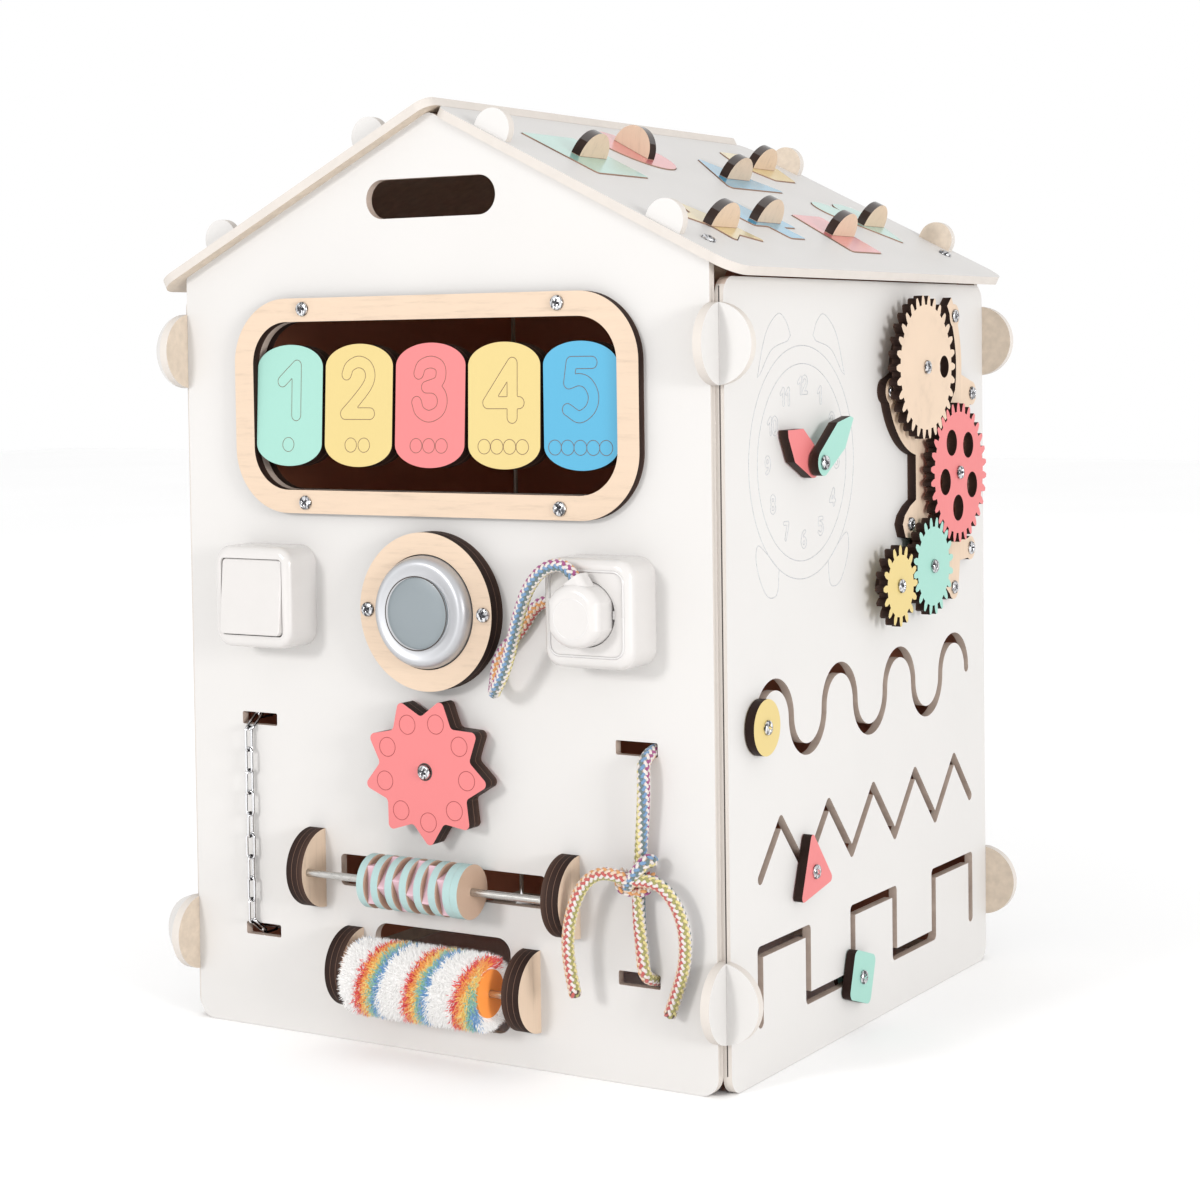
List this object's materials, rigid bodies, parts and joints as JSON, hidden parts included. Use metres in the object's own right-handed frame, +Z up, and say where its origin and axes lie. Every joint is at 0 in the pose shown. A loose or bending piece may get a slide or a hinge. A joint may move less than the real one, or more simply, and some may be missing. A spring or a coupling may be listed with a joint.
{
  "type": "wooden busy board",
  "caption": "House-shaped plywood activity board with turning cards, gears, clock hands, slider tracks, switch, push light, plug, star wheel, rollers, ropes, chain and a roof shape sorter.",
  "frame": {"origin": "centre of the rectangle the four walls stand on, at floor level", "axes": "+Z up, -Y towards the wall with the number cards, +X towards the wall with the gears"},
  "size_m": [0.4628, 0.4833, 0.6193],
  "materials": {
    "white_ply": "white satin paint on birch plywood",
    "birch_ply": "bare birch plywood, laser-cut edges",
    "mint_ply": "mint satin paint on plywood",
    "yellow_ply": "yellow satin paint on plywood",
    "coral_ply": "coral satin paint on plywood",
    "blue_ply": "blue satin paint on plywood",
    "pink_ply": "pale pink satin paint on plywood",
    "white_plastic": "glossy white",
    "silver_plastic": "silver lacquer",
    "lens_plastic": "frosted grey",
    "grey_plastic": "plain grey",
    "bright_steel": "polished",
    "rod_steel": "plain drawn rod",
    "cell_steel": "plain cell jackets",
    "rope_cotton": "coloured braided cord",
    "fleece": "long tufted pile"
  },
  "bodies": {
    "house": {"front_wall": "white_ply", "back_wall": "white_ply", "left_wall": "white_ply", "right_wall": "white_ply", "roof_left": "white_ply", "roof_right": "white_ply", "roof_cleats": "birch_ply", "window_frame": "birch_ply", "window_back_frame": "birch_ply", "card_axle": "rod_steel", "switch_base": "white_plastic", "lamp_ring": "birch_ply", "push_light_base": "grey_plastic", "push_light_cells": "cell_steel", "socket_body": "white_plastic", "spinner_brackets": "birch_ply", "spinner_rod": "rod_steel", "roller_brackets": "birch_ply", "roller_rod": "rod_steel", "chain": "bright_steel", "pull_rope": "rope_cotton", "tie_rope_left": "rope_cotton", "tie_rope_right": "rope_cotton", "rope_knots": "rope_cotton", "socket_rope": "rope_cotton", "gear_carrier": "birch_ply", "pivot_bolts": "bright_steel", "nuts_and_washers": "bright_steel", "panel_screws": "bright_steel"},
    "card_1": {"card_1": "mint_ply"},
    "card_2": {"card_2": "yellow_ply"},
    "card_3": {"card_3": "coral_ply"},
    "card_4": {"card_4": "yellow_ply"},
    "card_5": {"card_5": "blue_ply"},
    "rocker": {"switch_rocker": "white_plastic"},
    "push_light": {"push_light_dome": "silver_plastic", "push_light_lens": "lens_plastic"},
    "plug": {"socket_plug": "white_plastic"},
    "star": {"star_wheel": "coral_ply"},
    "round_discs": {"spinner_round_discs": "mint_ply"},
    "square_discs": {"spinner_square_discs": "pink_ply"},
    "roller": {"roller_core": "coral_ply", "roller_fleece": "fleece"},
    "birch_gear": {"gear_birch": "birch_ply"},
    "coral_gear": {"gear_coral": "coral_ply"},
    "mint_gear": {"gear_mint": "mint_ply"},
    "yellow_gear": {"gear_yellow": "yellow_ply"},
    "hour": {"hour_hand": "coral_ply"},
    "minute": {"minute_hand": "mint_ply"},
    "round_slider": {"slider_round": "yellow_ply"},
    "triangle_slider": {"slider_triangle": "coral_ply"},
    "square_slider": {"slider_square": "mint_ply"},
    "sorter_square": {"sorter_square": "mint_ply"},
    "sorter_circle": {"sorter_circle": "coral_ply"},
    "sorter_triangle": {"sorter_triangle": "blue_ply"},
    "sorter_hexagon": {"sorter_hexagon": "yellow_ply"},
    "sorter_star": {"sorter_star": "yellow_ply"},
    "sorter_cross": {"sorter_cross": "blue_ply"},
    "sorter_parallelogram": {"sorter_parallelogram": "coral_ply"},
    "sorter_heart": {"sorter_heart": "mint_ply"}
  },
  "joints": [
    {"name": "card_1_turn", "type": "hinge", "parent": "house", "child": "card_1", "pos_m": [-0.1136, -0.20355, 0.422], "axis": [1, 0, 0], "continuous": true},
    {"name": "card_2_turn", "type": "hinge", "parent": "house", "child": "card_2", "pos_m": [-0.0568, -0.20355, 0.422], "axis": [1, 0, 0], "continuous": true},
    {"name": "card_3_turn", "type": "hinge", "parent": "house", "child": "card_3", "pos_m": [0, -0.20355, 0.422], "axis": [1, 0, 0], "continuous": true},
    {"name": "card_4_turn", "type": "hinge", "parent": "house", "child": "card_4", "pos_m": [0.0568, -0.20355, 0.422], "axis": [1, 0, 0], "continuous": true},
    {"name": "card_5_turn", "type": "hinge", "parent": "house", "child": "card_5", "pos_m": [0.1136, -0.20355, 0.422], "axis": [1, 0, 0], "continuous": true},
    {"name": "rocker_press", "type": "hinge", "parent": "house", "child": "rocker", "pos_m": [-0.1287, -0.23325, 0.296], "axis": [1, 0, 0], "range_deg": [0, 10]},
    {"name": "push_light_press", "type": "slide", "parent": "house", "child": "push_light", "axis": [0, 1, 0], "range_m": [0, 0.003], "stiffness_N_per_m": 200, "springref_m": -0.01},
    {"name": "plug_pull", "type": "slide", "parent": "house", "child": "plug", "axis": [0, -1, 0], "range_m": [0, 0.02]},
    {"name": "star_turn", "type": "hinge", "parent": "house", "child": "star", "pos_m": [0, -0.21605, 0.1873], "axis": [0, -1, 0], "continuous": true},
    {"name": "round_discs_turn", "type": "hinge", "parent": "house", "child": "round_discs", "pos_m": [0, -0.22605, 0.114], "axis": [1, 0, 0], "continuous": true},
    {"name": "square_discs_turn", "type": "hinge", "parent": "house", "child": "square_discs", "pos_m": [0, -0.22605, 0.114], "axis": [1, 0, 0], "continuous": true},
    {"name": "roller_turn", "type": "hinge", "parent": "house", "child": "roller", "pos_m": [0, -0.22605, 0.0505], "axis": [1, 0, 0], "continuous": true},
    {"name": "birch_gear_turn", "type": "hinge", "parent": "house", "child": "birch_gear", "pos_m": [0.222, 0.06345, 0.4415], "axis": [1, 0, 0], "continuous": true},
    {"name": "coral_gear_turn", "type": "hinge", "parent": "house", "child": "coral_gear", "pos_m": [0.222, 0.11895, 0.36639], "axis": [1, 0, 0], "continuous": true},
    {"name": "mint_gear_turn", "type": "hinge", "parent": "house", "child": "mint_gear", "pos_m": [0.222, 0.07311, 0.3035], "axis": [1, 0, 0], "continuous": true},
    {"name": "yellow_gear_turn", "type": "hinge", "parent": "house", "child": "yellow_gear", "pos_m": [0.222, 0.01781, 0.29444], "axis": [1, 0, 0], "continuous": true},
    {"name": "hour_hand_turn", "type": "hinge", "parent": "house", "child": "hour", "pos_m": [0.2135, -0.09555, 0.383], "axis": [1, 0, 0], "continuous": true},
    {"name": "minute_hand_turn", "type": "hinge", "parent": "house", "child": "minute", "pos_m": [0.221, -0.09555, 0.383], "axis": [1, 0, 0], "continuous": true},
    {"name": "round_slider_swing", "type": "hinge", "parent": "house", "child": "round_slider", "pos_m": [0.20925, -0.13905, 0.222], "axis": [-1, 0, 0], "range_deg": [0, 180]},
    {"name": "triangle_slider_slide", "type": "slide", "parent": "house", "child": "triangle_slider", "axis": [0, 0.67, 0.7423], "range_m": [0, 0.051]},
    {"name": "square_slider_slide", "type": "slide", "parent": "house", "child": "square_slider", "axis": [0, 0, 1], "range_m": [0, 0.044]},
    {"name": "sorter_square_lift", "type": "slide", "parent": "house", "child": "sorter_square", "axis": [0.4462, 0, 0.8949], "range_m": [0, 0.03]},
    {"name": "sorter_circle_lift", "type": "slide", "parent": "house", "child": "sorter_circle", "axis": [0.4462, 0, 0.8949], "range_m": [0, 0.03]},
    {"name": "sorter_triangle_lift", "type": "slide", "parent": "house", "child": "sorter_triangle", "axis": [0.4462, 0, 0.8949], "range_m": [0, 0.03]},
    {"name": "sorter_hexagon_lift", "type": "slide", "parent": "house", "child": "sorter_hexagon", "axis": [0.4462, 0, 0.8949], "range_m": [0, 0.03]},
    {"name": "sorter_star_lift", "type": "slide", "parent": "house", "child": "sorter_star", "axis": [0.4462, 0, 0.8949], "range_m": [0, 0.03]},
    {"name": "sorter_cross_lift", "type": "slide", "parent": "house", "child": "sorter_cross", "axis": [0.4462, 0, 0.8949], "range_m": [0, 0.03]},
    {"name": "sorter_parallelogram_lift", "type": "slide", "parent": "house", "child": "sorter_parallelogram", "axis": [0.4462, 0, 0.8949], "range_m": [0, 0.03]},
    {"name": "sorter_heart_lift", "type": "slide", "parent": "house", "child": "sorter_heart", "axis": [0.4462, 0, 0.8949], "range_m": [0, 0.03]}
  ],
  "couplings": [
    {"joint": "coral_gear_turn", "follows": "birch_gear_turn", "ratio": -1},
    {"joint": "mint_gear_turn", "follows": "birch_gear_turn", "ratio": 1.5},
    {"joint": "yellow_gear_turn", "follows": "birch_gear_turn", "ratio": -1.875}
  ]
}
